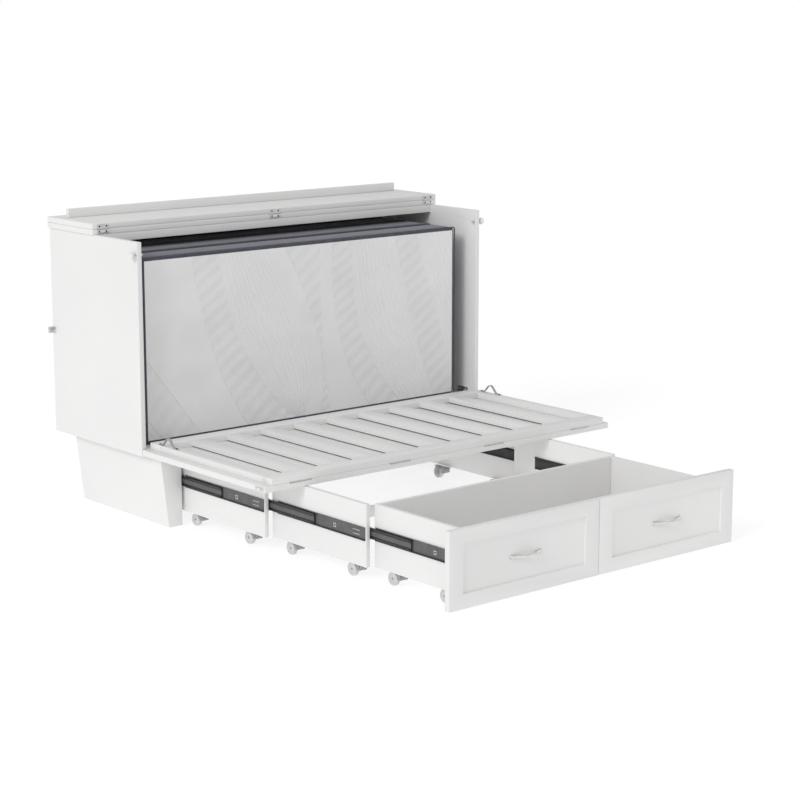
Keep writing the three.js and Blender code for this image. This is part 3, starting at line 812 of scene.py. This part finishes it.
def two_fabrics(mesh, middle, seam):
    """Knit on the faces of a section, and the slate border between its seams."""
    mesh.materials.clear()
    mesh.materials.append(KNIT)
    mesh.materials.append(BORDER)
    centres = np.zeros(len(mesh.polygons) * 3)
    mesh.polygons.foreach_get("center", centres)
    inside = np.abs(centres.reshape(-1, 3)[:, 1] - middle) < seam
    mesh.polygons.foreach_set("material_index", inside.astype(np.int32))
    mesh.polygons.foreach_set("use_smooth", [True] * len(mesh.polygons))
    mesh.update()


def mattress():
    """The folded mattress: three sections, each with quilted faces, a slate border and piping."""
    low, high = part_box("mattress")
    thickness = (high.y - low.y) / SECTION_COUNT
    pad, seam = pad_section(Vector((high.x - low.x, thickness, high.z - low.z)))
    middle = (low + high) / 2
    edge_low = Vector((low.x + EDGE_SWELL, 0, low.z + EDGE_SWELL + 0.0005))
    edge_high = Vector((high.x - EDGE_SWELL, 0, high.z - EDGE_SWELL))
    for index, label in enumerate(("front", "middle", "rear")):
        centre = Vector((middle.x, low.y + thickness * (index + 0.5), middle.z))
        mesh = pad.copy()
        mesh.name = f"mattress_{label}"
        points = mesh_points(mesh)
        if index % 2:
            points[:, 1] *= -1
            mesh.flip_normals()
        points += np.array(centre)
        quilt(mesh, points, centre.y, seam, high.z)
        points[:, 1] = np.clip(points[:, 1], low.y + index * thickness, low.y + (index + 1) * thickness)
        points[:, 2] = np.clip(points[:, 2], low.z + 0.0002, high.z)
        mesh.vertices.foreach_set("co", points.ravel())
        two_fabrics(mesh, centre.y, seam)
        section = bpy.data.objects.new(mesh.name, mesh)
        bpy.context.scene.collection.objects.link(section)
        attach(section, "cabinet")
        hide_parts("mattress")
        for end, sign in (("a", -1), ("b", 1)):
            seam_piping(f"mattress_{label}_piping_{end}", edge_low, edge_high, centre.y + sign * seam)


# ---------------------------------------------------------------- floor, light and camera

def studio():
    """A plain pale floor, a soft key from the left and an even white surround."""
    bm = bmesh.new()
    bmesh.ops.create_grid(bm, x_segments=1, y_segments=1, size=40)
    mesh = bpy.data.meshes.new("floor")
    bm.to_mesh(mesh)
    bm.free()
    mesh.materials.append(surface("pale floor", (grey(0.38), grey(0.40)), 0.6, (0.9, 0.95), 40, 0.0001,
                                  sockets={"Specular IOR Level": 0.0, "Emission Color": (1, 1, 1, 1),
                                           "Emission Strength": 0.70}))
    floor = bpy.data.objects.new("floor", mesh)
    bpy.context.scene.collection.objects.link(floor)

    world = bpy.data.worlds.new("studio")
    bpy.context.scene.world = world
    world.use_nodes = True
    tree = world.node_tree
    tree.nodes["Background"].inputs["Color"].default_value = (1, 1, 1, 1)
    tree.nodes["Background"].inputs["Strength"].default_value = 0.66
    backdrop = add(tree, "ShaderNodeBackground", {"Color": (1, 1, 1, 1), "Strength": 1.0})
    seen = add(tree, "ShaderNodeLightPath").outputs["Is Camera Ray"]
    mixed = add(tree, "ShaderNodeMixShader", {0: seen, 1: tree.nodes["Background"].outputs[0],
                                              2: backdrop.outputs[0]})
    tree.links.new(mixed.outputs[0], tree.nodes["World Output"].inputs[0])

    light = bpy.data.lights.new("key", "SUN")
    light.energy = 0.95
    light.angle = math.radians(22)
    key = bpy.data.objects.new("key", light)
    bpy.context.scene.collection.objects.link(key)
    key.rotation_euler = Vector((-0.82, -0.22, 0.50)).to_track_quat("Z", "Y").to_euler()
    bpy.context.scene.view_settings.view_transform = "Standard"


def camera():
    """A long-lens camera aimed a little below the cabinet's middle."""
    data = bpy.data.cameras.new("camera")
    data.lens = LENS
    data.clip_start, data.clip_end = 0.1, 200
    made = bpy.data.objects.new("camera", data)
    bpy.context.scene.collection.objects.link(made)
    back = Vector((math.sin(AZIMUTH) * math.cos(ELEVATION), -math.cos(AZIMUTH) * math.cos(ELEVATION),
                   math.sin(ELEVATION)))
    made.location = CAMERA_TARGET + CAMERA_DISTANCE * back
    made.rotation_euler = back.to_track_quat("Z", "Y").to_euler()
    bpy.context.scene.camera = made


camera()
studio()
boards()
foot_panel()
pull_loops()
lid_hinges()
fold_hinges()
panel_fittings()
locks()
wall_brackets()
dress_slides()
ball_cages()
outer_channels()
casters()
drawer_pulls()
mattress()
panel_hinges()
